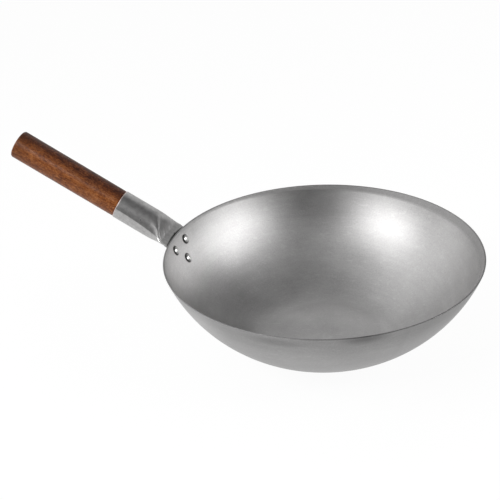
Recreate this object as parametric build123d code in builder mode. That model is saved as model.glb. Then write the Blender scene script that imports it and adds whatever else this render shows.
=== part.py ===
from build123d import *

import os
from math import asin, atan2, cos, degrees, pi, radians, sin, sqrt, tan

# A carbon steel wok: a pressed bowl with a small flat base, a tube socket whose end is pressed
# flat into a tongue and riveted to the outside of the wall, and a turned wooden grip.
# The origin is the centre of the base's underside, +Z is up and the handle points along -X.
# Lengths are in millimetres and angles in degrees.

# Bowl
rim_radius = 178.0  # outside, at the rim
depth = 101.6  # from the surface it stands on to the rim's outer corner
base_radius = 62.0  # of the flat on the underside
knuckle_radius = 60.0  # where the flat turns up into the wall
knuckle_angle = 24.5  # the wall's slope where the knuckle ends
bowl_sheet = 1.5
rim_chamfer = 0.3

# Socket
handle_rise = 27.0  # of the handle's axis above level
socket_diameter = 33.5
socket_sheet = 1.25
socket_length = 71.0  # along its axis, from the mouth to the corner over the rim
round_length = 40.0  # of the tube that stays round
flat_land = 2.0  # pressed flat, just before the bend
bend_radius = 9.0  # at the middle of the pressed sheets
crown_angle = 12.0  # half of the tube's top that opens out into the flat
tongue_length = 44.0  # from the rim down the wall
tongue_corner_radius = 20.0
press_steps = 6
tongue_steps = 3

# Grip
grip_length = 138.0  # from the mouth to its end
grip_radius = 16.2  # where its neck ends
grip_end_radius = 16.55
grip_end_round = 2.5
neck_radius = 15.9  # at the mouth
neck_length = 7.0
tenon_length = 34.0
tenon_chamfer = 1.5

# Rivets
head_radius = 5.6
head_height = 2.6
tail_radius = 4.9
tail_height = 1.8
tail_chamfer = 0.5
shank_radius = 2.9
rivet_spread = 29.6  # between the two upper ones
upper_drop = 12.8  # from the rim down the wall to the upper rivets
lower_drop = 31.0

# Retaining screw
screw_distance = 16.0  # from the mouth
screw_head_radius = 3.1
screw_head_height = 1.9
screw_shank_radius = 1.5
screw_length = 11.0  # under its head
screw_tip_length = 3.0
slot_width = 1.0
slot_depth = 0.9

# Fits
seat_gap = 0.2  # between sheets, and between the tenon and its bore
fastener_gap = 0.08  # under the heads of rivets and screw, and round their shanks
overrun = 3.0  # by which a cut passes what it cuts

# The wall's outline is one arc from the end of the knuckle up to the rim.
knuckle_slope = radians(knuckle_angle)
join_radius = base_radius + knuckle_radius * sin(knuckle_slope)
join_height = knuckle_radius * (1 - cos(knuckle_slope))
wall_reach = rim_radius - join_radius
wall_climb = depth - join_height
wall_lift = wall_climb * cos(knuckle_slope) - wall_reach * sin(knuckle_slope)
wall_radius = (wall_reach**2 + wall_climb**2) / (2 * wall_lift)
center_radius = join_radius - wall_radius * sin(knuckle_slope)
center_height = join_height + wall_radius * cos(knuckle_slope)
rim_slope = atan2(rim_radius - center_radius, center_height - depth)

# The tongue is two pressed sheets, and the arc between them follows the wall.
tongue_arc_radius = wall_radius + seat_gap + socket_sheet
corner_reach = sqrt(tongue_arc_radius**2 - (center_height - depth) ** 2)
corner_slope = atan2(corner_reach, center_height - depth)
flat_width = pi / 2 * (socket_diameter - 2 * socket_sheet) + 2 * socket_sheet

# The handle's axis rises from the corner over the rim to the socket's mouth.
socket_radius = socket_diameter / 2
bore_radius = socket_radius - socket_sheet
handle_corner = Vector(-center_radius - corner_reach, 0, depth)
axis_out = Vector(-cos(radians(handle_rise)), 0, sin(radians(handle_rise)))
mouth = handle_corner + axis_out * socket_length


def wall_seat(drop, sideways=0.0):
    """The plane on the wall's outside that faces out, a drop below the rim and off to a side."""
    slope = rim_slope - drop / wall_radius
    radius = center_radius + wall_radius * sin(slope)
    height = center_height - wall_radius * cos(slope)
    turn = asin(sideways / radius)
    around = Vector(-cos(turn), sin(turn), 0)
    return Plane(
        origin=around * radius + Vector(0, 0, height),
        x_dir=(-sin(turn), -cos(turn), 0),
        z_dir=around * sin(slope) - Vector(0, 0, cos(slope)),
    )


def half_section(seat):
    """The plane for the profile of a turned piece on a seat: X is its radius, Y its height."""
    return Plane(origin=seat.origin, x_dir=seat.x_dir, z_dir=-seat.y_dir)


lower_seat = wall_seat(lower_drop)
rivet_seats = {
    "rivet_upper_left": wall_seat(upper_drop, rivet_spread / 2),
    "rivet_upper_right": wall_seat(upper_drop, -rivet_spread / 2),
    "rivet_lower": lower_seat,
}
rivet_hole_radius = shank_radius + fastener_gap
rivet_hole_depth = bowl_sheet + seat_gap + 2 * socket_sheet + overrun

# The socket's centre line runs down the handle's axis, round the bend and down the wall.
with BuildLine(Plane.XZ) as spine:
    Line((mouth.X, mouth.Z), (handle_corner.X, handle_corner.Z))
    CenterArc(
        (-center_radius, center_height),
        tongue_arc_radius,
        -90 - degrees(corner_slope),
        degrees((tongue_length + overrun) / tongue_arc_radius),
    )
    fillet(spine.vertices().sort_by_distance(handle_corner)[0], radius=bend_radius)
spine_wire = spine.wire()
spine_parts = spine_wire.edges().sort_by_distance(mouth)
straight_length, bend_length, wall_length = [edge.length for edge in spine_parts]


def station(distance):
    """The plane square to the centre line at a distance from the mouth: X is across it, Y up."""
    return Plane(
        origin=spine_wire.position_at(distance, PositionMode.LENGTH),
        x_dir=(0, 1, 0),
        z_dir=spine_wire.tangent_at(distance, PositionMode.LENGTH),
    )


def pressed_oval(plane, press_share, inset=0.0):
    """The tube's section, from round at a share of 0 to flat at 1. Its four arcs keep the round
    tube's length all the way round, as pressed sheet does, and an inset gives its inside."""
    eased_share = press_share**2 * (3 - 2 * press_share)
    half_height = socket_radius + (socket_sheet - socket_radius) * eased_share
    crown = radians(crown_angle) * half_height / socket_radius
    side = pi / 2 - crown
    crown_rise = (1 - cos(crown)) / cos(crown)
    quarter_length = socket_radius * pi / 2
    crown_radius = (quarter_length - half_height * side / cos(crown)) / (crown - side * crown_rise)
    side_radius = half_height / cos(crown) - crown_radius * crown_rise
    side_center = (crown_radius - side_radius) * sin(crown)
    crown_center = half_height - crown_radius
    with BuildSketch(plane) as section:
        with BuildLine():
            for sign, turn in ((1, 0), (-1, 180)):
                start = turn - degrees(side)
                CenterArc((sign * side_center, 0), side_radius - inset, start, 2 * degrees(side))
                start = turn + degrees(side)
                CenterArc((0, sign * crown_center), crown_radius - inset, start, 2 * degrees(crown))
        make_face()
    return section.sketch


def tongue_band(plane, wrap_radius):
    """The section of the two pressed sheets, wrapped round the wall, with their folded edges."""
    half_turn = (flat_width / 2 - socket_sheet) / wrap_radius
    turn = degrees(half_turn)
    edge_offset = wrap_radius * sin(half_turn)
    edge_rise = wrap_radius * (1 - cos(half_turn))
    with BuildSketch(plane) as section:
        with BuildLine():
            for face_radius in (wrap_radius - socket_sheet, wrap_radius + socket_sheet):
                CenterArc((0, wrap_radius), face_radius, -90 - turn, 2 * turn)
            CenterArc((edge_offset, edge_rise), socket_sheet, -90 + turn, 180)
            CenterArc((-edge_offset, edge_rise), socket_sheet, 90 - turn, 180)
        make_face()
    return section.sketch


def wrap_radius_at(plane):
    """How far the bowl's axis lies from a station on the wall, square to the wall."""
    return plane.origin.X / plane.z_dir.Z


def sheet_side(inset):
    """One side of the bowl's sheet, out along the base, round the knuckle and up to the rim. The
    wall's arc is a Bezier curve with the handles that follow a circle."""
    flat = Line((0, inset), (base_radius, inset))
    knuckle = JernArc(flat @ 1, flat % 1, knuckle_radius - inset, knuckle_angle)
    radius = wall_radius - inset
    reach = 4 / 3 * tan((rim_slope - knuckle_slope) / 4) * radius
    rim = Vector(center_radius + radius * sin(rim_slope), center_height - radius * cos(rim_slope))
    rim_tangent = Vector(cos(rim_slope), sin(rim_slope))
    return Bezier(knuckle @ 1, knuckle @ 1 + (knuckle % 1) * reach, rim - rim_tangent * reach, rim)


# Bowl: one sheet, revolved, its rim cut square to the wall
with BuildPart() as bowl:
    with BuildSketch(Plane.XZ):
        with BuildLine():
            outside = sheet_side(0)
            inside = sheet_side(bowl_sheet)
            Line(outside @ 1, inside @ 1)
            Line((0, 0), (0, bowl_sheet))
        make_face()
    revolve(axis=Axis.Z)
    chamfer(bowl.edges().group_by(Axis.Z)[-1] + bowl.edges().group_by(Axis.Z)[-2], length=rim_chamfer)
    for seat in rivet_seats.values():
        with BuildSketch(seat):
            Circle(rivet_hole_radius)
        extrude(amount=rivet_hole_depth, both=True, mode=Mode.SUBTRACT)
bowl.part.label = "bowl"

# Retaining screw's seat, on the underside of the socket
screw_station = station(screw_distance)
screw_seat = Plane(
    origin=screw_station.origin - screw_station.y_dir * socket_radius,
    x_dir=screw_station.x_dir,
    z_dir=-screw_station.y_dir,
)
screw_hole_radius = screw_shank_radius + fastener_gap

# Handle socket: round at its mouth, pressed flat, bent over the rim and laid on the wall
press_length = straight_length - flat_land - round_length
press_shares = [step / press_steps for step in range(press_steps + 1)]
press_stations = [station(round_length + press_length * share) for share in press_shares]
bend_station = station(straight_length + bend_length / 2)
wall_start = straight_length + bend_length
wall_stations = [station(wall_start + wall_length * step / tongue_steps) for step in range(tongue_steps + 1)]
whole_socket = socket_length + tongue_length + socket_diameter
with BuildPart() as handle_socket:
    with BuildSketch(station(0)):
        Circle(socket_radius)
    extrude(amount=round_length)
    loft([pressed_oval(plane, share) for plane, share in zip(press_stations, press_shares)])
    extrude(pressed_oval(press_stations[-1], 1), amount=flat_land)
    loft(
        [
            pressed_oval(station(straight_length), 1),
            tongue_band(bend_station, 2 * wrap_radius_at(bend_station)),
            tongue_band(wall_stations[0], wrap_radius_at(wall_stations[0])),
        ]
    )
    loft([tongue_band(plane, wrap_radius_at(plane)) for plane in wall_stations])
    # Its bore, and the slit that the bore narrows to
    with BuildSketch(station(0)):
        Circle(bore_radius)
    extrude(amount=round_length, mode=Mode.SUBTRACT)
    loft(
        [
            pressed_oval(plane, share, inset=socket_sheet)
            for plane, share in zip(press_stations[:-1], press_shares[:-1])
        ],
        mode=Mode.SUBTRACT,
    )
    # Its tongue's end, cut round below the lower rivet
    with BuildSketch(lower_seat):
        with Locations((0, lower_drop - tongue_length)):
            trim = Rectangle(flat_width + 2 * overrun, whole_socket, align=(Align.CENTER, Align.MIN))
        fillet(trim.vertices().group_by(Axis.Y)[0], radius=tongue_corner_radius + overrun)
    extrude(amount=whole_socket, both=True, mode=Mode.INTERSECT)
    for seat in rivet_seats.values():
        with BuildSketch(seat):
            Circle(rivet_hole_radius)
        extrude(amount=rivet_hole_depth, mode=Mode.SUBTRACT)
    with BuildSketch(screw_seat):
        Circle(screw_hole_radius)
    extrude(amount=socket_sheet + overrun, both=True, mode=Mode.SUBTRACT)
handle_socket.part.label = "handle_socket"

# Wooden grip: a turned handle that necks in at the mouth, with a tenon in the bore
tenon_radius = bore_radius - seat_gap
with BuildPart() as wooden_grip:
    with BuildSketch(Plane(origin=mouth, x_dir=axis_out, z_dir=(0, 1, 0))):
        with BuildLine():
            taper = Line((grip_length, grip_end_radius), (neck_length, grip_radius))
            TangentArc(taper @ 1, (seat_gap, neck_radius), tangent=taper % 1)
            Polyline(
                (seat_gap, neck_radius),
                (seat_gap, tenon_radius),
                (-tenon_length, tenon_radius),
                (-tenon_length, 0),
                (grip_length, 0),
                (grip_length, grip_end_radius),
            )
        outline = make_face()
        fillet(outline.vertices().sort_by_distance(taper @ 0)[0], radius=grip_end_round)
        chamfer(
            outline.vertices().sort_by_distance((-tenon_length, tenon_radius))[0], length=tenon_chamfer
        )
    revolve(axis=Axis(mouth, axis_out))
    with BuildSketch(screw_seat):
        Circle(screw_hole_radius)
    extrude(amount=-screw_length - fastener_gap, mode=Mode.SUBTRACT)
wooden_grip.part.label = "wooden_grip"

# Rivets: a domed head inside the bowl, and the tail that is closed flat on the tongue
inside_radius = wall_radius - bowl_sheet
head_sag = inside_radius - sqrt(inside_radius**2 - head_radius**2)
head_base = -bowl_sheet - head_sag - fastener_gap
tail_base = seat_gap + 2 * socket_sheet + fastener_gap
tail_end = tail_base + tail_height
rivets = []
for name, seat in rivet_seats.items():
    with BuildPart() as rivet:
        with BuildSketch(half_section(seat)):
            with BuildLine():
                head = TangentArc((0, head_base - head_height), (head_radius, head_base), tangent=(1, 0))
                Polyline(
                    head @ 1,
                    (shank_radius, head_base),
                    (shank_radius, tail_base),
                    (tail_radius, tail_base),
                    (tail_radius, tail_end - tail_chamfer),
                    (tail_radius - tail_chamfer, tail_end),
                    (0, tail_end),
                    head @ 0,
                )
            make_face()
        revolve(axis=Axis(seat.origin, seat.z_dir))
    rivet.part.label = name
    rivets.append(rivet)

# Retaining screw: a round slotted head under the socket, and a shank in the tenon
crest = fastener_gap + screw_head_height
with BuildPart() as retaining_screw:
    with BuildSketch(half_section(screw_seat)):
        with BuildLine():
            head = TangentArc((0, crest), (screw_head_radius, fastener_gap), tangent=(1, 0))
            Polyline(
                head @ 1,
                (screw_shank_radius, fastener_gap),
                (screw_shank_radius, screw_tip_length - screw_length),
                (0, -screw_length),
                head @ 0,
            )
        make_face()
    revolve(axis=Axis(screw_seat.origin, screw_seat.z_dir))
    with BuildSketch(screw_seat.offset(crest)):
        Rectangle(2 * screw_head_radius, slot_width)
    extrude(amount=-slot_depth, mode=Mode.SUBTRACT)
retaining_screw.part.label = "retaining_screw"

os.makedirs("parts", exist_ok=True)
for piece in [bowl, handle_socket, wooden_grip, *rivets, retaining_screw]:
    export_step(piece.part, f"parts/{piece.part.label}.step")
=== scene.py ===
from math import asin, atan2, cos, exp, hypot, pi, radians, sin, sqrt, tau

import bpy
from mathutils import Matrix, Vector


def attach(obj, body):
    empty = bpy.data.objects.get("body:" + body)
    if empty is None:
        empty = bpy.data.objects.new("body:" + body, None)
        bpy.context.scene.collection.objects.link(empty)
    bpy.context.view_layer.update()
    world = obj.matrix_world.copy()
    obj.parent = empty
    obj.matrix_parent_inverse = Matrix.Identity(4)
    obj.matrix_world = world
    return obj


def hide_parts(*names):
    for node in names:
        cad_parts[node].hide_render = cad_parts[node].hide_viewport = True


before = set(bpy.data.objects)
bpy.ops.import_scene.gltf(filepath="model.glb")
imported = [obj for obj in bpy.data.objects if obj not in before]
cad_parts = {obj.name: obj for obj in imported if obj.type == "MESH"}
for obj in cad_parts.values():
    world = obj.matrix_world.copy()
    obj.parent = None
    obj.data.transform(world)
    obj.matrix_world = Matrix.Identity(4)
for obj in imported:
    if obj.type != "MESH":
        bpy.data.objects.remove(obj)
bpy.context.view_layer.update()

# A carbon steel wok, dressed for its photograph. The origin is the centre of the base's underside,
# +Z is up and the handle points along -X. Lengths are in metres, and angles in degrees where a
# number is typed and in radians where they are worked out.

# Bowl
rim_radius = 0.178
depth = 0.1016
base_radius = 0.062
knuckle_radius = 0.060
knuckle_angle = 24.5
bowl_sheet = 0.0015
rim_edge_radius = 0.0003

# Socket
handle_rise = 27.0  # above level
socket_radius = 0.01675
socket_sheet = 0.00125
socket_length = 0.071  # from the mouth to the handle's corner over the rim
round_length = 0.040  # from the mouth to where the press began
flat_land = 0.002  # pressed flat, before the bend
bend_radius = 0.009
crown_angle = 12.0  # half the sweep of the section's top arc, where the tube is round
tongue_length = 0.044  # from the corner down the wall
tongue_corner_radius = 0.020
mouth_round = 0.0003

# Grip
grip_length = 0.138
grip_radius = 0.0162
grip_end_radius = 0.01655
grip_end_round = 0.0025
neck_radius = 0.0159
neck_length = 0.007
shoulder_chamfer = 0.0002
tenon_length = 0.034
tenon_chamfer = 0.001

# Rivets and retaining screw
head_radius = 0.0056
head_height = 0.0026
tail_radius = 0.0049
tail_height = 0.0018
tail_chamfer = 0.0005
shank_radius = 0.0029
rivet_spread = 0.0296  # between the upper two
upper_drop = 0.0128  # from the rim down the wall
lower_drop = 0.031
screw_distance = 0.016  # from the mouth
screw_head_radius = 0.0031
screw_head_height = 0.0019
screw_shank_radius = 0.0015
screw_length = 0.011
screw_tip_length = 0.003
slot_width = 0.001
slot_depth = 0.0009

# Fits
seat_gap = 0.0002
fastener_gap = 0.00008

# The wall's outline is one arc from the end of the knuckle up to the rim
knuckle_slope = radians(knuckle_angle)
join_radius = base_radius + knuckle_radius * sin(knuckle_slope)
join_height = knuckle_radius * (1 - cos(knuckle_slope))
wall_reach = rim_radius - join_radius
wall_climb = depth - join_height
wall_lift = wall_climb * cos(knuckle_slope) - wall_reach * sin(knuckle_slope)
wall_radius = (wall_reach**2 + wall_climb**2) / (2 * wall_lift)
center_radius = join_radius - wall_radius * sin(knuckle_slope)
center_height = join_height + wall_radius * cos(knuckle_slope)
rim_slope = atan2(rim_radius - center_radius, center_height - depth)

# The handle's corner over the rim, its axis and its mouth
tongue_arc_radius = wall_radius + seat_gap + socket_sheet
corner_reach = sqrt(tongue_arc_radius**2 - (center_height - depth) ** 2)
corner_slope = atan2(corner_reach, center_height - depth)
handle_corner = Vector((-center_radius - corner_reach, 0, depth))
axis_out = Vector((-cos(radians(handle_rise)), 0, sin(radians(handle_rise))))
handle_up = Vector((sin(radians(handle_rise)), 0, cos(radians(handle_rise))))
handle_side = Vector((0, 1, 0))
mouth = handle_corner + axis_out * socket_length


def wall_seat(drop, sideways=0.0):
    """A point on the wall's outside, and the way it faces."""
    slope = rim_slope - drop / wall_radius
    radius = center_radius + wall_radius * sin(slope)
    turn = asin(sideways / radius)
    around = Vector((-cos(turn), sin(turn), 0))
    place = around * radius + Vector((0, 0, center_height - wall_radius * cos(slope)))
    return place, around * sin(slope) - Vector((0, 0, cos(slope)))


rivet_seats = [
    wall_seat(upper_drop, rivet_spread / 2),
    wall_seat(upper_drop, -rivet_spread / 2),
    wall_seat(lower_drop),
]
tail_base = seat_gap + 2 * socket_sheet + fastener_gap  # of a rivet, from the wall's outer face


# Node trees written as Python


class Graph:
    """A node tree: node() adds any node, and the sockets that it gives take Python's operators."""

    def __init__(self, tree):
        self.tree = tree

    def node(self, kind, settings=None, sockets=None, output=0):
        """Adds a node, with its settings set first, then its sockets' values or links."""
        made = self.tree.nodes.new(kind)
        for name, value in (settings or {}).items():
            if name == "stops":
                ramp = made.color_ramp.elements
                while len(ramp) < len(value):
                    ramp.new(1.0)
                for stop, (position, color) in zip(ramp, value):
                    stop.position = position
                    stop.color = (*color, 1.0)
            else:
                setattr(made, name, value)
        for name, value in (sockets or {}).items():
            if isinstance(value, Flow):
                self.tree.links.new(value.socket, made.inputs[name])
            else:
                made.inputs[name].default_value = value
        return Flow(self, made.outputs[output])

    def vector(self, x, y, z):
        return self.node("ShaderNodeCombineXYZ", sockets={0: x, 1: y, 2: z})

    def split(self, vector):
        """The three parts of a vector."""
        parts = self.node("ShaderNodeSeparateXYZ", sockets={0: vector})
        return [Flow(self, socket) for socket in parts.socket.node.outputs]

    def noise(self, vector, scale, detail, roughness, distortion=0.0):
        """Noise from 0 to 1."""
        sockets = {"Vector": vector, "Scale": scale, "Detail": detail}
        sockets.update({"Roughness": roughness, "Distortion": distortion})
        return self.node("ShaderNodeTexNoise", sockets=sockets)

    def grain(self, vector, scale, detail, roughness):
        """Noise to both sides of 0."""
        return self.noise(vector, scale, detail, roughness) - 0.5

    def mix(self, share, first, second):
        """A mix of two colours."""
        return self.node("ShaderNodeMix", {"data_type": "RGBA"}, {0: share, 6: first, 7: second}, 2)


class Flow:
    """A socket whose operators add Math nodes to its tree."""

    def __init__(self, graph, socket):
        self.graph = graph
        self.socket = socket

    def math(self, operation, *values):
        sockets = dict(enumerate(values))
        return self.graph.node("ShaderNodeMath", {"operation": operation}, sockets)

    def __add__(self, other):
        return self.math("ADD", self, other)

    def __radd__(self, other):
        return self.math("ADD", other, self)

    def __sub__(self, other):
        return self.math("SUBTRACT", self, other)

    def __rsub__(self, other):
        return self.math("SUBTRACT", other, self)

    def __mul__(self, other):
        return self.math("MULTIPLY", self, other)

    def __rmul__(self, other):
        return self.math("MULTIPLY", other, self)

    def __truediv__(self, other):
        return self.math("DIVIDE", self, other)

    def __rtruediv__(self, other):
        return self.math("DIVIDE", other, self)

    def __neg__(self):
        return self.math("MULTIPLY", self, -1.0)

    def clamp(self, low, high):
        return self.math("MINIMUM", self.math("MAXIMUM", self, low), high)

    def smooth(self, low, high):
        """0 below low, 1 above high and a smooth step between them."""
        settings = {"interpolation_type": "SMOOTHSTEP"}
        return self.graph.node("ShaderNodeMapRange", settings, {0: self, 1: low, 2: high})

    def sin(self):
        return self.math("SINE", self)

    def cos(self):
        return self.math("COSINE", self)

    def sqrt(self):
        return self.math("SQRT", self)

    def exp(self):
        return self.math("EXPONENT", self)

    def abs(self):
        return self.math("ABSOLUTE", self)


# Materials


def new_material(name, finish):
    """A material whose principled shader gets its sockets from finish(graph, x, y, z)."""
    material = bpy.data.materials.new(name)
    material.use_nodes = True
    graph = Graph(material.node_tree)
    shader = material.node_tree.nodes["Principled BSDF"]
    place = graph.node("ShaderNodeTexCoord", output="Object")
    for socket, value in finish(graph, *graph.split(place)).items():
        if isinstance(value, Flow):
            graph.tree.links.new(value.socket, shader.inputs[socket])
        else:
            shader.inputs[socket].default_value = value
    return material


def bump(graph, height):
    """Normals for a height in metres."""
    return graph.node("ShaderNodeBump", sockets={"Height": height, "Distance": 1.0})


def tinted(graph, color, shade):
    """A colour made lighter or darker by a shade that varies."""
    return graph.vector(*[shade * part for part in color])


def reach(x, y, z, center, sizes=(1.0, 1.0, 1.0)):
    """How far a point is from a place, with each direction measured in a size of its own."""
    parts = [(place - middle) / size for place, middle, size in zip((x, y, z), center, sizes)]
    return (parts[0] * parts[0] + parts[1] * parts[1] + parts[2] * parts[2]).sqrt()


def soft_spot(x, y, z, center, sizes):
    """1 in the middle of a soft spot, 0 outside it."""
    return 1.0 - reach(x, y, z, center, sizes).smooth(0.0, 1.0)


def handle_place(x, z):
    """Distances along the handle from the corner over the rim, and up from the handle's axis."""
    along = (x - handle_corner.x) * axis_out.x + (z - handle_corner.z) * axis_out.z
    up = (x - handle_corner.x) * handle_up.x + (z - handle_corner.z) * handle_up.z
    return along, up


def wall_distance(x, y, z):
    """How far a point is outside the wall's outer face."""
    out = (x * x + y * y).sqrt() - center_radius
    rise = z - center_height
    return (out * out + rise * rise).sqrt() - wall_radius


# Bowl's finish
bowl_color = (0.362, 0.358, 0.357)
bowl_roughness = 0.56
ring_squeeze = 0.02  # of the noise round the axis, which draws it out into rings
ring_relief = 0.000012
bowl_grit_relief = 0.000004
band_height = 0.0065  # of the duller band inside the rim, where X is 0; its steel is rougher there and is also painted darker as shade
band_lean = 0.022  # by which the band grows with X, away from the handle
band_fade = (-0.0005, 0.0025)  # above the line along its lower edge
band_line_width = 0.0007
band_line_relief = 0.00003
# of the rim's top, which is painted darker as shade
rim_shade_height = 0.0005
lit_disc_edge = (0.058, 0.082)  # radii between which the painted light on the base's disc fades out
lit_disc_middle = 0.036  # radius within which that painted light is less
lit_disc_middle_share = 0.08  # by which the painted light lightens the very middle
lit_disc_gain_share = 0.20  # by which it lightens the disc further out
lit_disc_side = (-0.016, 0.034)  # Y between which its painted light comes in
scuff_share = 0.07  # by which the light scuffs, where their noise is high, lighten the steel
scuff_noise = (0.60, 0.66)
gloss_radii = (0.045, 0.105)  # between which the bowl gets glossier
outer_fade = (depth * 0.62, depth * 0.95)  # heights between which the outside is painted darker, as shade under the rim
outer_lean = 0.9  # by which the outside is painted darker away from the handle and lighter towards it
rivet_shade_edge = (head_radius, head_radius * 1.22)  # from a rivet's seat, where the painted shade round it ends
rivet_ring_shade = 0.45

# Patches, as (centre, sizes, depth share): darker, or lighter where the share is below zero. The first
# two are stains under the rim; the others are chiefly painted light and shade that even out the bowl's
# reflections, and the tiny one is a painted glint
stains_and_painted_light = [
    ((0.0890, -0.1540, 0.0985), (0.036, 0.036, 0.011), 0.45),
    ((0.0010, -0.1750, 0.0930), (0.045, 0.020, 0.010), 0.24),
    ((-0.0600, 0.0300, 0.0100), (0.070, 0.060, 0.030), 0.10),
    ((-0.1700, -0.0250, 0.0750), (0.050, 0.110, 0.055), -0.85),
    ((0.0270, -0.1326, 0.0375), (0.0012, 0.0012, 0.0012), -1.2),
    ((-0.1160, 0.0290, 0.0260), (0.055, 0.075, 0.036), 0.32),
    ((-0.0050, 0.0920, 0.0100), (0.060, 0.030, 0.025), 0.16),
    ((-0.0300, 0.1550, 0.0780), (0.075, 0.045, 0.042), 0.30),
    ((-0.0920, -0.1450, 0.0870), (0.050, 0.050, 0.035), -0.28),
]


def bowl_steel(graph, x, y, z):
    """Bare sheet steel, satin, with the fine rings that spinning and polishing leave."""
    place = graph.vector(x, y, z)
    radius = (x * x + y * y).sqrt()
    around = graph.vector(x / radius * ring_squeeze, y / radius * ring_squeeze, radius + z)
    rings = graph.grain(around, scale=900.0, detail=3.0, roughness=0.6)
    wide_rings = graph.grain(around, scale=120.0, detail=2.0, roughness=0.5)
    clouds = graph.grain(place, scale=16.0, detail=3.0, roughness=0.55)
    grit = graph.grain(place, scale=620.0, detail=3.0, roughness=0.7)
    slanted = graph.vector(x * 0.3 + y * 0.1, y - x * 0.2, z)
    scuffs = graph.noise(slanted, scale=260.0, detail=2.0, roughness=0.6, distortion=0.6)
    shade = 1.0 + rings * 0.20 + wide_rings * 0.14 + clouds * 0.36 + grit * 0.42
    shade = shade * (1.0 + scuffs.smooth(*scuff_noise) * scuff_share)
    # painted light and shade from the patches, besides the two stains under the rim
    for center, sizes, depth_share in stains_and_painted_light:
        shade = shade * (1.0 - soft_spot(x, y, z, center, sizes) * depth_share)

    outside = wall_distance(x, y, z).smooth(-bowl_sheet, 0.0)
    inside = 1.0 - outside
    # painted light on the base's flat disc, on its far side
    disc_light = lit_disc_middle_share + radius.smooth(0.0, lit_disc_middle) * lit_disc_gain_share
    painted_disc_light = (1.0 - radius.smooth(*lit_disc_edge)) * disc_light
    into_band = z - depth + band_height + x * band_lean
    from_line = into_band / band_line_width
    line = inside / (1.0 + from_line * from_line)
    band = into_band.smooth(*band_fade) * inside
    rim_shade = z.smooth(depth - rim_shade_height, depth)
    shade = shade * (1.0 + painted_disc_light * y.smooth(*lit_disc_side))
    # painted shade along the line under the band, which is also a groove in the relief, over the rougher
    # band and on the rim's top
    shade = shade * (1.0 - line * 0.10) * (1.0 - band * 0.12) * (1.0 - rim_shade * 0.35)
    # painted shade on the outside, towards the rim and away from the handle
    shade = shade * (1.0 - outside * (z.smooth(*outer_fade) * 0.16 + x * outer_lean))
    # painted shade in a ring round each rivet's seat
    for seat, _ in rivet_seats:
        unshaded = reach(x, y, z, seat).smooth(*rivet_shade_edge)
        shade = shade * (rivet_ring_shade + unshaded * (1.0 - rivet_ring_shade))

    gloss = radius.smooth(*gloss_radii) * 0.11
    roughness = bowl_roughness - gloss + band * 0.20 + clouds * 0.10 + rings * 0.05
    relief = rings * ring_relief + grit * bowl_grit_relief - line * band_line_relief
    return {
        "Base Color": tinted(graph, bowl_color, shade),
        "Metallic": 1.0,
        "Roughness": roughness.clamp(0.2, 0.8),
        "Normal": bump(graph, relief),
    }


# Painted light and shade on the handle change across planes that lean sideways, by these shares of Y and
# of up
lean_side_share = 0.545
lean_up_share = 0.84

# Socket's finish
tube_color = (0.40, 0.396, 0.394)
tube_roughness = 0.54
dull_shade = 0.44  # of the tube where no painted light or reflection lifts it: off the underside, the pressed part and the far side
# painted highlight on the cut edge at the mouth, tinted pink
cut_edge_glint_color = (0.68, 0.54, 0.50, 1.0)
line_stretch = 0.05  # of the noise along the tube, which draws it out into lines
line_relief = 0.000006
mottle_relief = 0.00002
lit_strip_edge = 0.0067  # of the polished underside's painted reflection of the floor, from the leaning plane, at the mouth
lit_strip_narrowing = 1.15  # by which that edge moves off, times the squared distance from the mouth
lit_strip_blur = 0.0006
lit_strip_end = (0.064, 0.072)  # from the mouth
pressed_light = (0.052, 0.066)  # from the mouth, where the pressed part is painted lighter
far_side = (0.0085, 0.0155)  # from the leaning plane, where the far side is painted lighter
# a punch mark, whose dent is drawn as a painted highlight round a painted shade
punch_mark = (-0.2115, -0.0155, 0.1249)
punch_highlight_sizes = (0.0030, 0.0030, 0.0030)
punch_shade_sizes = (0.0014, 0.0014, 0.0014)
cut_edge_start = 0.0011  # from the mouth
cut_edge_full = 0.0005
gap_shadow_edge = (0.0006, 0.0016)  # from the wall's outer face, where the painted shadow in the gap ends
gap_shadow_heights = (depth - 0.005, depth - 0.003)


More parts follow.
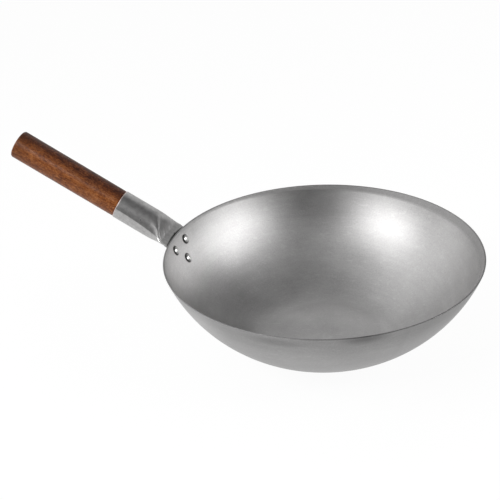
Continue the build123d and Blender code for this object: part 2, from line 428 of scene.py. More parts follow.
def socket_steel(graph, x, y, z):
    """Drawn tube with dull mottling, polished underneath, with painted light, reflection and shadow on
    it, and a painted highlight on the cut edge at its mouth.
    """
    along, up = handle_place(x, z)
    place = graph.vector(x, y, z)
    drawn = graph.vector(along * line_stretch, y, up)
    lines = graph.grain(drawn, scale=1100.0, detail=3.0, roughness=0.6)
    mottle = graph.grain(place, scale=240.0, detail=4.0, roughness=0.65)
    grit = graph.grain(place, scale=1500.0, detail=2.0, roughness=0.7)

    mouth_distance = socket_length - along
    # painted reflection of the floor on the polished underside, narrowing towards the rim
    under = y.abs() * lean_side_share - up * lean_up_share
    from_edge = under - (mouth_distance * mouth_distance * lit_strip_narrowing + lit_strip_edge)
    polish_and_reflection = from_edge.smooth(-lit_strip_blur, lit_strip_blur)
    polish_and_reflection = polish_and_reflection * (1.0 - mouth_distance.smooth(*lit_strip_end))
    # painted light on the pressed part
    pressed = mouth_distance.smooth(*pressed_light)
    # painted light on the far side
    far_light = (y * lean_side_share + up * lean_up_share).smooth(*far_side) * (1.0 - pressed * 0.75)
    # painted reflection and painted light added to the dull tube
    shade = dull_shade + polish_and_reflection * 0.64 + far_light * 0.86 + pressed * 0.42
    shade = shade * (1.0 + lines * 0.16 + mottle * 0.80 + grit * 0.30)
    # painted highlight and painted shade of the punch mark's dent
    shade = shade + soft_spot(x, y, z, punch_mark, punch_highlight_sizes) * 0.16
    shade = shade - soft_spot(x, y, z, punch_mark, punch_shade_sizes) * 0.40

    # painted highlight on the cut edge at the mouth
    cut_edge_glint = along.smooth(socket_length - cut_edge_start, socket_length - cut_edge_full)
    # painted shadow in the gap where the socket meets the rim
    gap_shadow = 1.0 - wall_distance(x, y, z).smooth(*gap_shadow_edge)
    on_top = z.smooth(*gap_shadow_heights)
    shade = (shade + cut_edge_glint * 0.25) * (1.0 - gap_shadow * on_top * 0.94)
    color = tinted(graph, tube_color, shade)
    roughness = tube_roughness - polish_and_reflection * 0.16 + mottle * 0.12 + lines * 0.04
    return {
        "Base Color": graph.mix(cut_edge_glint * 0.6, color, cut_edge_glint_color),
        "Metallic": 1.0,
        "Roughness": roughness.clamp(0.12, 0.8),
        "Normal": bump(graph, lines * line_relief + mottle * mottle_relief),
    }


# Rivets' finish
rivet_color = (0.70, 0.70, 0.69)
rivet_roughness = 0.30
head_shade_heights = (head_height * 0.30, head_height * 0.85)  # between these heights the painted shade round the head's foot ends
tail_shade_heights = (tail_base, tail_base + tail_height * 0.5)
foot_shade = 0.10
fastener_relief = 0.00001


def rivet_steel(graph, x, y, z):
    """Plain steel that the closing tool has polished, with painted shade round the foot of the head and
    of the tail.
    """
    place = graph.vector(x, y, z)
    mottle = graph.grain(place, scale=260.0, detail=3.0, roughness=0.6)
    grit = graph.grain(place, scale=2200.0, detail=2.0, roughness=0.7)
    off_wall = wall_distance(x, y, z)
    # painted shade at the foot of the head and of the tail
    unshaded = (-off_wall - bowl_sheet).smooth(*head_shade_heights) + off_wall.smooth(*tail_shade_heights)
    shade = (1.0 + mottle * 0.3 + grit * 0.2) * (foot_shade + unshaded * (1.0 - foot_shade))
    return {
        "Base Color": tinted(graph, rivet_color, shade),
        "Metallic": 1.0,
        "Roughness": rivet_roughness + mottle * 0.12,
        "Normal": bump(graph, mottle * fastener_relief),
    }


# Screw's finish
screw_color = (0.60, 0.60, 0.58)
screw_roughness = 0.34


def screw_steel(graph, x, y, z):
    """Zinc plate, dulled."""
    place = graph.vector(x, y, z)
    mottle = graph.grain(place, scale=500.0, detail=3.0, roughness=0.6)
    grit = graph.grain(place, scale=2600.0, detail=2.0, roughness=0.7)
    return {
        "Base Color": tinted(graph, screw_color, 1.0 + mottle * 0.4 + grit * 0.2),
        "Metallic": 1.0,
        "Roughness": screw_roughness + mottle * 0.15,
        "Normal": bump(graph, mottle * fastener_relief),
    }


# Grip's finish, with its colours as the stops of a ramp, in lit and shaded copies of the wood
lit_wood = [
    (0.22, (0.069, 0.016, 0.003)),
    (0.50, (0.170, 0.046, 0.007)),
    (0.78, (0.274, 0.094, 0.022)),
]
shaded_wood = [
    (0.22, (0.014, 0.003, 0.001)),
    (0.50, (0.044, 0.010, 0.003)),
    (0.78, (0.120, 0.036, 0.010)),
]
pore_color = (0.020, 0.007, 0.003, 1.0)
pore_noise = (0.58, 0.70)  # between which a pore comes in
end_shade_color = (0.050, 0.016, 0.006, 1.0)
end_shade_length = 0.030
middle_tone = 0.49  # place on the ramp, which the grain moves up and down
shade_blur = 0.013
shade_drift = 0.014
shade_fray = 0.016
wood_roughness = 0.50
wood_shine = 0.15
varnish_share = 0.27
varnish_roughness = 0.27
streak_relief = 0.00012
fibre_relief = 0.00003
pore_relief = 0.00006


def grip_wood(graph, x, y, z):
    """Reddish brown hardwood with straight grain under a varnish, painted darker on its upper side as
    shade, and towards its end.
    """
    along, up = handle_place(x, z)

    def drawn(stretch, scale, detail, roughness):
        """Noise drawn out along the handle."""
        return graph.noise(graph.vector(along * stretch, y, up), scale, detail, roughness)

    drift = drawn(0.6, scale=22.0, detail=2.0, roughness=0.5) - 0.5
    streaks = drawn(0.16, scale=620.0, detail=4.0, roughness=0.7) - 0.5
    fibres = drawn(0.10, scale=1700.0, detail=3.0, roughness=0.7) - 0.5
    mottle = drawn(0.5, scale=190.0, detail=2.0, roughness=0.6) - 0.5
    speckle = drawn(0.6, scale=760.0, detail=2.0, roughness=0.6) - 0.5
    pores = drawn(0.14, scale=1500.0, detail=2.0, roughness=0.5).smooth(*pore_noise)
    leaning = up * lean_up_share + y * lean_side_share
    # painted shade over the grip's upper side, with a frayed edge
    shaded_side = (leaning + drift * shade_drift + streaks * shade_fray).smooth(0.0, shade_blur)
    tone = middle_tone + streaks * 0.9 + fibres * 0.8 + drift * 0.3 + mottle * 0.6 + speckle * 0.9
    light = graph.node("ShaderNodeValToRGB", {"stops": lit_wood}, {0: tone})
    dark = graph.node("ShaderNodeValToRGB", {"stops": shaded_wood}, {0: tone})
    end = socket_length + grip_length
    # painted shade towards the grip's end, where the varnish also thins
    end_shade = along.smooth(end - end_shade_length, end)
    color = graph.mix(pores * 0.55, graph.mix(shaded_side, light, dark), pore_color)
    varnish = (varnish_share + streaks * 1.2 + fibres * 1.2) * (1.0 - end_shade * 0.6)
    relief = streaks * streak_relief + fibres * fibre_relief - pores * pore_relief
    return {
        "Base Color": graph.mix(end_shade * 0.40, color, end_shade_color),
        "Roughness": wood_roughness + streaks * 0.25,
        "Specular IOR Level": wood_shine,
        "Coat Weight": varnish.clamp(0.0, 1.0),
        "Coat Roughness": varnish_roughness,
        "Normal": bump(graph, relief),
    }


finishes = {
    "bowl_steel": bowl_steel,
    "socket_steel": socket_steel,
    "rivet_steel": rivet_steel,
    "screw_steel": screw_steel,
    "grip_wood": grip_wood,
}
materials = {slot: new_material(slot, finish) for slot, finish in finishes.items()}


# Meshes

crisp_angle = 32.0  # past which an edge stays crisp
merge_distance = 1e-6
square = ((-1, -1), (1, -1), (1, 1), (-1, 1))  # corners, each way from the middle


def new_object(name, mesh):
    made = bpy.data.objects.new(name, mesh)
    bpy.context.scene.collection.objects.link(made)
    return made


def mesh_of_rings(name, rings, first_tip=None, last_tip=None):
    """A tube through rings of as many points each, closed at its ends by a tip or by the end ring."""
    count = len(rings[0])
    points = [point for ring in rings for point in ring]
    faces = []
    for ring in range(len(rings) - 1):
        for step in range(count):
            after = (step + 1) % count
            low, high = ring * count, (ring + 1) * count
            faces.append((low + step, low + after, high + after, high + step))
    for tip, ring, turn in ((first_tip, 0, -1), (last_tip, len(rings) - 1, 1)):
        corners = [ring * count + step for step in range(count)]
        if tip is None:
            faces.append(corners[::turn])
        else:
            points.append(tip)
            for step in range(count):
                pair = (corners[step], corners[(step + 1) % count])
                faces.append((*pair[::turn], len(points) - 1))
    mesh = bpy.data.meshes.new(name)
    mesh.from_pydata(points, [], faces)
    mesh.polygons.foreach_set("use_smooth", [True] * len(faces))
    return mesh


def spread(start, end, steps):
    """Even steps from start to end, without start."""
    return [start + (end - start) * step / steps for step in range(1, steps + 1)]


def arc(center_x, center_y, radius, start, end, steps):
    """Points on an arc between two angles in radians."""
    angles = [start + (end - start) * step / steps for step in range(steps + 1)]
    return [(center_x + radius * cos(angle), center_y + radius * sin(angle)) for angle in angles]


def dome(base, height, radius, steps):
    """Points (height, radius) from a dome's tip to its edge; a negative height hangs below its base."""
    ball = (radius**2 + height**2) / (2 * abs(height))
    turn = asin(radius / ball)
    sign = 1 if height > 0 else -1
    angles = [turn * step / steps for step in range(steps + 1)]
    return [(base + height - sign * ball * (1 - cos(angle)), ball * sin(angle)) for angle in angles]


def turned(name, outline, origin, axis, side, segments):
    """A lathe mesh: the outline is (height, radius) along the axis, from one tip to the other."""
    across = axis.cross(side)
    angles = [tau * step / segments for step in range(segments)]
    rings = []
    for height, radius in outline[1:-1]:
        center = origin + axis * height
        rings.append([center + (side * cos(angle) + across * sin(angle)) * radius for angle in angles])
    return mesh_of_rings(name, rings, origin + axis * outline[0][0], origin + axis * outline[-1][0])


def finished(made, material):
    """Turns what the modifiers give into the piece's own plain mesh, with its material."""
    graph = bpy.context.evaluated_depsgraph_get()
    mesh = bpy.data.meshes.new_from_object(made.evaluated_get(graph))
    made.modifiers.clear()
    made.data = mesh
    mesh.set_sharp_from_angle(angle=radians(crisp_angle))
    mesh.materials.clear()
    mesh.materials.append(material)


def dress(piece, slot, *nodes):
    """Hangs a finished piece on the CAD body, in place of its nodes."""
    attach(piece, "root")
    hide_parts(*nodes)


def set_inputs(modifier, values):
    """Sets a geometry tree's inputs by the names that the tree gives them."""
    for item in modifier.node_group.interface.items_tree:
        if item.in_out == "INPUT" and item.name in values:
            modifier[item.identifier] = values[item.name]


# Bowl: a grid bent by a rule into a flat base, a knuckle and a wall, then turned round the axis

bowl_turns = 288
bowl_stations = 110
rim_edge_steps = 3


def bowl_tree():
    """A tree that bends a grid into the bowl's outer face."""
    tree = bpy.data.node_groups.new("Spun sheet", "GeometryNodeTree")
    graph = Graph(tree)
    tree.interface.new_socket("Geometry", in_out="OUTPUT", socket_type="NodeSocketGeometry")
    for name in ("Base radius", "Knuckle radius", "Knuckle slope", "Wall radius", "Wall turn"):
        tree.interface.new_socket(name, in_out="INPUT", socket_type="NodeSocketFloat")
    for name in ("Turns", "Stations"):
        tree.interface.new_socket(name, in_out="INPUT", socket_type="NodeSocketInt")
    tree.interface.new_socket("Material", in_out="INPUT", socket_type="NodeSocketMaterial")
    inputs = tree.nodes.new("NodeGroupInput")
    base, knuckle, slope, wall, turn, turns, stations, material = [
        Flow(graph, socket) for socket in inputs.outputs[:8]
    ]
    grid = graph.node("GeometryNodeMeshGrid", sockets={0: 1.0, 1: 1.0, 2: turns, 3: stations})
    grid_x, grid_y, _ = graph.split(graph.node("GeometryNodeInputPosition"))
    distance = (grid_y + 0.5) * (base + knuckle * slope + wall * turn)
    flat = distance.math("MINIMUM", distance, base)
    knuckle_turn = ((distance - base) / knuckle).clamp(0.0, slope)
    wall_turn = ((distance - base - knuckle * slope) / wall).clamp(0.0, turn)
    radius = flat + knuckle * knuckle_turn.sin() + wall * ((slope + wall_turn).sin() - slope.sin())
    height = knuckle * (1 - knuckle_turn.cos()) + wall * (slope.cos() - (slope + wall_turn).cos())
    angle = (grid_x + 0.5) * tau
    place = graph.vector(radius * angle.cos(), radius * angle.sin(), height)
    bent = graph.node("GeometryNodeSetPosition", sockets={"Geometry": grid, "Position": place})
    seam = {"Geometry": bent, "Distance": merge_distance}
    closed = graph.node("GeometryNodeMergeByDistance", sockets=seam)
    smooth = graph.node("GeometryNodeSetShadeSmooth", sockets={"Geometry": closed})
    whole = graph.node("GeometryNodeRealizeInstances", sockets={"Geometry": smooth})
    shown = graph.node("GeometryNodeSetMaterial", sockets={"Geometry": whole, "Material": material})
    output = tree.nodes.new("NodeGroupOutput")
    tree.links.new(shown.socket, output.inputs[0])
    return tree


bowl = new_object("wok_bowl", bpy.data.meshes.new("wok_bowl"))
spun = bowl.modifiers.new("Spun sheet", "NODES")
spun.node_group = bowl_tree()
set_inputs(
    spun,
    {
        "Base radius": base_radius,
        "Knuckle radius": knuckle_radius,
        "Knuckle slope": knuckle_slope,
        "Wall radius": wall_radius,
        "Wall turn": rim_slope - knuckle_slope,
        "Turns": bowl_turns + 1,
        "Stations": bowl_stations,
        "Material": materials["bowl_steel"],
    },
)
sheet = bowl.modifiers.new("Sheet", "SOLIDIFY")
sheet.thickness = bowl_sheet
sheet.offset = -1.0
sheet.use_even_offset = True
edges = bowl.modifiers.new("Rim edges", "BEVEL")
edges.width = rim_edge_radius
edges.segments = rim_edge_steps
edges.limit_method = "ANGLE"
edges.harden_normals = True
finished(bowl, materials["bowl_steel"])
dress(bowl, "bowl_steel", "bowl")


# Socket: rings of points from the round mouth, through the pressed part, to the tongue's end

socket_points = 340
mouth_steps = 4
round_steps = 16
press_steps = 76
tongue_steps = 16
tongue_end_steps = 24
bore_steps = 10
press_delay = 1.5  # above 1, the tube flattens later on its way to the rim
least_slope = 0.3  # keeps the wrap's radius from growing where the centre line is nearly level
least_blend_share = 0.02  # keeps that radius from growing without end where the wrap begins


def sample(arcs, count):
    """Points spread over a closed chain of arcs, half by their length and half by their turn."""
    length = sum(abs(radius * sweep) for _, _, radius, _, sweep in arcs)
    turn = sum(abs(sweep) for _, _, _, _, sweep in arcs)
    weights = []
    for _, _, radius, _, sweep in arcs:
        weights.append((abs(radius * sweep) / length + abs(sweep) / turn) / 2)
    points = []
    passed = 0.0
    index = 0
    for step in range(count):
        share = step / count
        while share > passed + weights[index]:
            passed += weights[index]
            index += 1
        x, y, radius, start, sweep = arcs[index]
        angle = start + sweep * (share - passed) / weights[index]
        points.append((x + radius * cos(angle), y + radius * sin(angle)))
    return points


def pressed_oval(press_share):
    """The tube's section from round, at 0, to flat, at 1, with its length all round kept."""
    late_share = press_share**press_delay
    eased_share = late_share**2 * (3 - 2 * late_share)
    half_height = socket_radius + (socket_sheet - socket_radius) * eased_share
    crown = radians(crown_angle) * half_height / socket_radius
    side = pi / 2 - crown
    crown_rise = (1 - cos(crown)) / cos(crown)
    quarter_length = socket_radius * pi / 2
    crown_radius = (quarter_length - half_height * side / cos(crown)) / (crown - side * crown_rise)
    side_radius = half_height / cos(crown) - crown_radius * crown_rise
    side_center = (crown_radius - side_radius) * sin(crown)
    crown_center = half_height - crown_radius
    return [
        (side_center, 0, side_radius, -side, 2 * side),
        (0, crown_center, crown_radius, side, 2 * crown),
        (-side_center, 0, side_radius, pi - side, 2 * side),
        (0, -crown_center, crown_radius, pi + side, 2 * crown),
    ]


def tongue_band(wrap_radius, half_width):
    """The section of the two pressed sheets, wrapped round the wall, with their folded edges."""
    turn = (half_width - socket_sheet) / wrap_radius
    edge_offset = wrap_radius * sin(turn)
    edge_rise = wrap_radius * (1 - cos(turn))
    return [
        (edge_offset, edge_rise, socket_sheet, -pi / 2 + turn, pi),
        (0, wrap_radius, wrap_radius - socket_sheet, -pi / 2 + turn, -2 * turn),
        (-edge_offset, edge_rise, socket_sheet, pi / 2 - turn, pi),
        (0, wrap_radius, wrap_radius + socket_sheet, -pi / 2 - turn, 2 * turn),
    ]


# The centre line: straight down the handle's axis, round the bend and down the wall
axis_angle = -radians(handle_rise)
bend_turn = corner_slope + axis_angle
bend_setback = bend_radius * sin(bend_turn / 2) / cos(bend_turn / 2)
straight_length = socket_length - bend_setback
wall_start = straight_length + bend_radius * bend_turn
pressed_length = straight_length - flat_land
whole_length = wall_start + tongue_length - bend_setback
tongue_end_start = whole_length - tongue_corner_radius
flat_width = pi * (socket_radius - socket_sheet) + 2 * socket_sheet


def underside(angle):
    """The way square to the centre line and below it, where it runs at an angle."""
    return Vector((sin(angle), 0, -cos(angle)))


def station(distance):
    """The centre line's point at a distance from the mouth, and its angle, below 0 where it falls."""
    if distance <= straight_length:
        return mouth - axis_out * distance, axis_angle
    if distance <= wall_start:
        angle = axis_angle - (distance - straight_length) / bend_radius
        bend_start = mouth - axis_out * straight_length
        bend_center = bend_start + underside(axis_angle) * bend_radius
        return bend_center - underside(angle) * bend_radius, angle
    slope = corner_slope - (bend_setback + distance - wall_start) / tongue_arc_radius
    out = center_radius + tongue_arc_radius * sin(slope)
    height = center_height - tongue_arc_radius * cos(slope)
    return Vector((-out, 0, height)), -slope


def half_width_at(distance):
    """Half the tongue's width, drawn in round its end."""
    past = distance - tongue_end_start
    if past <= 0:
        return flat_width / 2
    return flat_width / 2 - tongue_corner_radius + sqrt(max(tongue_corner_radius**2 - past**2, 0.0))


def section(distance):
    """The socket's outer section at a distance from its mouth."""
    share = min(max((distance - round_length) / (pressed_length - round_length), 0.0), 1.0)
    oval = sample(pressed_oval(share), socket_points)
    if distance <= pressed_length:
        return oval
    place, angle = station(distance)
    blend = min((distance - pressed_length) / (wall_start - pressed_length), 1.0)
    wrap = abs(place.x) / max(abs(sin(angle)), least_slope) / max(blend, least_blend_share)
    band = sample(tongue_band(wrap, half_width_at(distance)), socket_points)
    return [
        (oval_x + (band_x - oval_x) * blend, oval_y + (band_y - oval_y) * blend)
        for (oval_x, oval_y), (band_x, band_y) in zip(oval, band)
    ]


# The creases that the press left: where each starts and ends, as (distance from the mouth, place
# across), and how sharply it curls towards its end
crease_height = 0.00040
crease_width = 0.0012
crease_growth = 2.5  # how soon along its way a crease reaches its height
crease_end = socket_length + 0.002
crease_fade = 0.003
creases = [
    ((0.0435, -0.0152), (0.0705, -0.0238), 1.8),
    ((0.0490, -0.0038), (0.0700, -0.0212), 3.0),
    ((0.0530, 0.0120), (0.0705, 0.0036), 1.0),
]


def crease_rise(distance, across):
    """How far the creases lift the upper face at a place."""
    rise = 0.0
    for (start, start_across), (end, end_across), curl in creases:
        share = (distance - start) / (end - start)
        if share <= 0:
            continue
        drift = end_across - start_across
        line = start_across + drift * share**curl
        lean = hypot(1.0, drift * curl * share ** (curl - 1) / (end - start))
        off = (across - line) / lean / crease_width
        rise += crease_height * min(share * crease_growth, 1.0) * exp(-off * off)
    return rise


def creased(distance, points):
    """The section with its upper face lifted by the creases, which fade out past the rim."""
    fade_share = min(max((crease_end - distance) / crease_fade, 0.0), 1.0)
    lifted = []
    for index, (across, height) in enumerate(points):
        after = points[(index + 1) % len(points)]
        before = points[index - 1]
        run = after[0] - before[0]
        climb = after[1] - before[1]
        size = hypot(run, climb)
        rise = crease_rise(distance, across) * fade_share if height > 0 else 0.0
        lifted.append((across + rise * climb / size, height - rise * run / size))
    return lifted


def scaled(points, share):
    return [(x * share, y * share) for x, y in points]


def ring_at(distance, points):
    """A section's points, set square to the centre line."""
    place, angle = station(distance)
    up = -underside(angle)
    return [place + handle_side * across + up * height for across, height in points]


distances = [mouth_round * (1 - cos(pi / 2 * step / mouth_steps)) for step in range(mouth_steps)]
distances.append(mouth_round)
distances += spread(mouth_round, round_length, round_steps)
distances += spread(round_length, wall_start, press_steps)
distances += spread(wall_start, tongue_end_start, tongue_steps)
for turn in spread(0.0, pi / 2, tongue_end_steps):
    distances.append(tongue_end_start + tongue_corner_radius * sin(turn))
socket_rings = []
for distance in distances:
    points = creased(distance, section(distance))
    if distance < mouth_round:
        rounded = mouth_round - sqrt(mouth_round**2 - (mouth_round - distance) ** 2)
        points = scaled(points, 1 - rounded / socket_radius)
    socket_rings.append(ring_at(distance, points))
bore_radius = socket_radius - socket_sheet
bore_section = scaled(section(0.0), bore_radius / socket_radius)
bore_rings = []
for step in range(bore_steps, -1, -1):
    bore_rings.append(ring_at(round_length * step / bore_steps, bore_section))
socket_mesh = mesh_of_rings("pressed_socket", [*bore_rings, *socket_rings])
handle_socket = new_object("pressed_socket", socket_mesh)
finished(handle_socket, materials["socket_steel"])
dress(handle_socket, "socket_steel", "handle_socket")


# Wooden grip: a lathe mesh from the tenon's tip to the grip's end

grip_segments = 128
neck_steps = 8
body_steps = 24
end_round_steps = 10
end_face_steps = 6
shoulder_margin = 0.0003  # from the ring just before the shoulder to the shoulder itself

tenon_radius = bore_radius - seat_gap
neck_start = seat_gap + shoulder_chamfer
neck_run = neck_length - 2 * shoulder_chamfer
body_end = grip_length - grip_end_round
end_face_radius = grip_end_radius - grip_end_round
grip_outline = [
    (-tenon_length, 0.0),
    (-tenon_length, tenon_radius - tenon_chamfer),
    (-tenon_length + tenon_chamfer, tenon_radius),
    (seat_gap - shoulder_margin, tenon_radius),
    (seat_gap, tenon_radius),
    (seat_gap, neck_radius - shoulder_chamfer),
    (neck_start, neck_radius),
]
for share in spread(0.0, 1.0, neck_steps):
    swell = (grip_radius - neck_radius) * (1 - (1 - share) ** 2)
    grip_outline.append((neck_start + neck_run * share, neck_radius + swell))
for share in spread(0.0, 1.0, body_steps)[:-1]:
    height = neck_length + (body_end - neck_length) * share
    grip_outline.append((height, grip_radius + (grip_end_radius - grip_radius) * share))
grip_outline += arc(body_end, end_face_radius, grip_end_round, pi / 2, 0, end_round_steps)
for share in spread(0.0, 1.0, end_face_steps):
    grip_outline.append((grip_length, end_face_radius * (1 - share)))
grip_mesh = turned("turned_grip", grip_outline, mouth, axis_out, handle_side, grip_segments)
grip = new_object("turned_grip", grip_mesh)
finished(grip, materials["grip_wood"])
dress(grip, "grip_wood", "wooden_grip")


# Rivets: one lathe mesh, set on the wall's three seats by a geometry tree

fastener_segments = 64
rivet_head_steps = 14
rivet_tail_steps = 5

inside_radius = wall_radius - bowl_sheet
head_sag = inside_radius - sqrt(inside_radius**2 - head_radius**2)
head_base = -bowl_sheet - head_sag - fastener_gap
tail_end = tail_base + tail_height
tail_face_radius = tail_radius - tail_chamfer
rivet_outline = dome(head_base, -head_height, head_radius, rivet_head_steps)
rivet_outline += [(head_base, shank_radius), (tail_base, shank_radius), (tail_base, tail_radius)]
rivet_outline += arc(tail_end - tail_chamfer, tail_face_radius, tail_chamfer, pi / 2, 0, rivet_tail_steps)
rivet_outline.append((tail_end, 0.0))
middle = Vector((0, 0, 0))
upright = Vector((0, 0, 1))
ahead = Vector((1, 0, 0))
rivet_mesh = turned("rivet_model", rivet_outline, middle, upright, ahead, fastener_segments)
rivet_model = new_object("rivet_model", rivet_mesh)


def rivet_tree():
    """A tree that sets a rivet on each seat, turned the way that the seat faces."""
    tree = bpy.data.node_groups.new("Rivets on their seats", "GeometryNodeTree")
    graph = Graph(tree)
    tree.interface.new_socket("Geometry", in_out="OUTPUT", socket_type="NodeSocketGeometry")
    tree.interface.new_socket("Geometry", in_out="INPUT", socket_type="NodeSocketGeometry")
    tree.interface.new_socket("Rivet", in_out="INPUT", socket_type="NodeSocketObject")
    tree.interface.new_socket("Material", in_out="INPUT", socket_type="NodeSocketMaterial")
    inputs = tree.nodes.new("NodeGroupInput")
    seats, rivet, material = [Flow(graph, socket) for socket in inputs.outputs[:3]]
    model = graph.node("GeometryNodeObjectInfo", sockets={"Object": rivet}, output="Geometry")
    settings = {"data_type": "FLOAT_VECTOR"}
    facing = graph.node("GeometryNodeInputNamedAttribute", settings, {"Name": "facing"})
    turn = graph.node("FunctionNodeAlignRotationToVector", {"axis": "Z"}, {"Vector": facing})
    sockets = {"Points": seats, "Instance": model, "Rotation": turn}
    set_out = graph.node("GeometryNodeInstanceOnPoints", sockets=sockets)
    whole = graph.node("GeometryNodeRealizeInstances", sockets={"Geometry": set_out})
    shown = graph.node("GeometryNodeSetMaterial", sockets={"Geometry": whole, "Material": material})
    output = tree.nodes.new("NodeGroupOutput")
    tree.links.new(shown.socket, output.inputs[0])
    return tree


seat_mesh = bpy.data.meshes.new("rivets")
seat_mesh.from_pydata([place for place, _ in rivet_seats], [], [])
facing = seat_mesh.attributes.new("facing", "FLOAT_VECTOR", "POINT")
for index, (_, normal) in enumerate(rivet_seats):
    facing.data[index].vector = normal
rivets = new_object("rivets", seat_mesh)
riveting = rivets.modifiers.new("Rivets on their seats", "NODES")
riveting.node_group = rivet_tree()
set_inputs(riveting, {"Rivet": rivet_model, "Material": materials["rivet_steel"]})
finished(rivets, materials["rivet_steel"])
bpy.data.objects.remove(rivet_model)
dress(rivets, "rivet_steel", "rivet_upper_left", "rivet_upper_right", "rivet_lower")


# Retaining screw, on the underside of the socket: a lathe mesh with a slot cut in its head

screw_head_steps = 12

crest = fastener_gap + screw_head_height
screw_outline = [(-screw_length, 0.0), (screw_tip_length - screw_length, screw_shank_radius)]
screw_outline += [(fastener_gap, screw_shank_radius)]
screw_outline += dome(fastener_gap, screw_head_height, screw_head_radius, screw_head_steps)[::-1]
screw_seat = mouth - axis_out * screw_distance - handle_up * socket_radius
screw_mesh = turned(
    "slotted_screw", screw_outline, screw_seat, -handle_up, handle_side, fastener_segments
)
screw = new_object("slotted_screw", screw_mesh)
slot_corners = []
for height in (crest - slot_depth, crest + slot_depth):
    for across, along in square:
        corner = screw_seat - handle_up * height + handle_side * across * 2 * screw_head_radius
        slot_corners.append(corner + axis_out * along * slot_width / 2)
slot_faces = [(3, 2, 1, 0), (4, 5, 6, 7)]
for index in range(4):
    after = (index + 1) % 4
    slot_faces.append((index, after, after + 4, index + 4))
slot_mesh = bpy.data.meshes.new("slot")
slot_mesh.from_pydata(slot_corners, [], slot_faces)
slot_cutter = new_object("slot", slot_mesh)
slotting = screw.modifiers.new("Slot", "BOOLEAN")
slotting.object = slot_cutter
slotting.operation = "DIFFERENCE"
slotting.solver = "EXACT"
finished(screw, materials["screw_steel"])
bpy.data.objects.remove(slot_cutter)
dress(screw, "screw_steel", "retaining_screw")


# Floor: white where it is seen, straight on or in a reflection, but for a trace of the wok's
# shadow; matt to all other light; and clear from below

floor_half = 4.0
floor_drop = 0.0002
floor_color = (0.86, 0.86, 0.86, 1.0)
white_color = (1.0, 1.0, 1.0, 1.0)
white_share = 0.95

floor_mesh = bpy.data.meshes.new("floor")
floor_corners = [(x * floor_half, y * floor_half, -floor_drop) for x, y in square]
floor_mesh.from_pydata(floor_corners, [], [(0, 1, 2, 3)])
floor = new_object("floor", floor_mesh)
floor_material = bpy.data.materials.new("pale_floor")
floor_material.use_nodes = True
floor_graph = Graph(floor_material.node_tree)
rays = floor_graph.node("ShaderNodeLightPath", output="Is Camera Ray")
glossy = Flow(floor_graph, rays.socket.node.outputs["Is Glossy Ray"])
through = Flow(floor_graph, rays.socket.node.outputs["Is Transmission Ray"])
seen = (rays + glossy + through).clamp(0.0, 1.0)
matt = floor_graph.node("ShaderNodeBsdfDiffuse", sockets={"Color": floor_color})
white = floor_graph.node("ShaderNodeEmission", sockets={"Color": white_color, "Strength": 1.0})
lit = floor_graph.node("ShaderNodeMixShader", sockets={0: seen * white_share, 1: matt, 2: white})
from_below = floor_graph.node("ShaderNodeNewGeometry", output="Backfacing")
clear = floor_graph.node("ShaderNodeBsdfTransparent")
both_sides = floor_graph.node("ShaderNodeMixShader", sockets={0: from_below, 1: lit, 2: clear})
surface = floor_material.node_tree.nodes["Material Output"].inputs["Surface"]
floor_material.node_tree.links.new(both_sides.socket, surface)
floor_mesh.materials.append(floor_material)


# Light: softboxes whose reflections are the bowl's two highlights, and a room that glows

lamp_distance = 1.6


def toward(azimuth, elevation):
    """The way from the wok to a place round it, from two angles in degrees."""
    turn = radians(azimuth)
    lift = radians(elevation)
    return Vector((cos(turn) * cos(lift), sin(turn) * cos(lift), sin(lift)))


def softbox(name, azimuth, elevation, width, height, power):
    """A flat lamp that faces the bowl."""
    way = toward(azimuth, elevation)
    data = bpy.data.lights.new(name, "AREA")
    data.shape = "RECTANGLE"
    data.size = width
    data.size_y = height
    data.energy = power
    lamp = new_object(name, data)
    lamp.location = Vector((0, 0, depth / 2)) + way * lamp_distance
    lamp.rotation_euler = way.to_track_quat("Z", "Y").to_euler()


# Lamps, as (name, azimuth, elevation, width, height, power)
lamps = [
    ("right_softbox", 10.0, 28.5, 1.3, 0.6, 16.0),
    ("right_fill", -12.0, 38.0, 0.5, 0.3, 2.2),
    ("left_softbox", -132.4, 38.6, 1.2, 0.45, 15.6),
    ("left_fill", -106.0, 42.0, 0.5, 0.3, 2.5),
]
for lamp in lamps:
    softbox(*lamp)

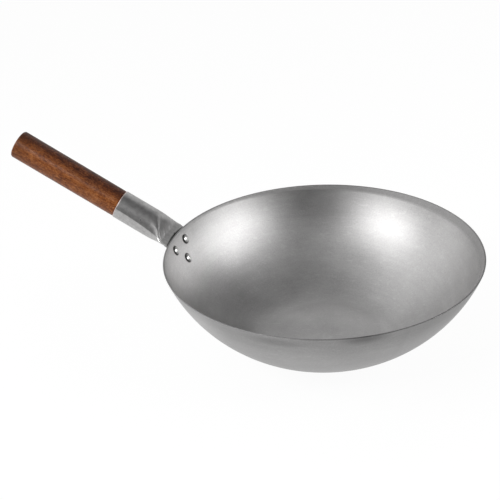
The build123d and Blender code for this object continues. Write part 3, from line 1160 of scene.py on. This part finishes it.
# Glowing patches of the room, as (azimuth, elevation, tightness, strength)
glows = [
    (175.0, 40.0, 6.0, 1.42),
    (160.0, 12.0, 6.0, 0.42),
    (-178.0, 5.0, 15.0, 1.10),
    (107.0, 31.0, 10.0, 0.93),
    (107.0, 32.0, 40.0, 0.80),
    (0.0, 85.0, 5.0, 0.11),
    (-60.0, 65.0, 10.0, 0.20),
    (40.0, 8.0, 6.0, 0.41),
]
world = bpy.data.worlds.new("studio")
world.use_nodes = True
bpy.context.scene.world = world
world_graph = Graph(world.node_tree)
way_x, way_y, way_z = world_graph.split(world_graph.node("ShaderNodeTexCoord", output="Generated"))
seen_directly = world_graph.node("ShaderNodeLightPath", output="Is Camera Ray")
glow = seen_directly
for azimuth, elevation, tightness, strength in glows:
    way = toward(azimuth, elevation)
    nearness = way_x * way.x + way_y * way.y + way_z * way.z
    patch = ((nearness - 1.0) * tightness).exp()
    glow = glow + patch * strength * (1.0 - seen_directly)
backdrop = world.node_tree.nodes["Background"]
backdrop.inputs["Color"].default_value = white_color
world.node_tree.links.new(glow.socket, backdrop.inputs["Strength"])


# Camera: where the photograph's was, turned so that the rim's centre falls where it does there

focal_pixels = 1400.0
frame_pixels = 500.0
sensor_millimetres = 36.0
camera_distance = 1.55213
camera_azimuth = -73.0
camera_elevation = 28.65121
camera_roll = -1.02703
rim_pixel = (73.435, 4.579)  # of the rim's centre, right of and below the middle of the frame

camera_data = bpy.data.cameras.new("camera")
camera_data.sensor_width = sensor_millimetres
camera_data.lens = focal_pixels / frame_pixels * sensor_millimetres
camera = new_object("camera", camera_data)
bpy.context.scene.camera = camera
back = toward(camera_azimuth, camera_elevation)
right = toward(camera_azimuth + 90, 0)
looking = Matrix((right, back.cross(right), back)).transposed()
sight = Vector((rim_pixel[0], -rim_pixel[1], -focal_pixels)).normalized()
aim = Vector((0, 0, -1)).rotation_difference(sight).to_matrix()
roll = Matrix.Rotation(radians(camera_roll), 3, sight)
camera.matrix_world = (looking @ (roll @ aim).inverted()).to_4x4()
camera.location = Vector((0, 0, depth)) + back * camera_distance

bpy.context.scene.view_settings.view_transform = "Standard"
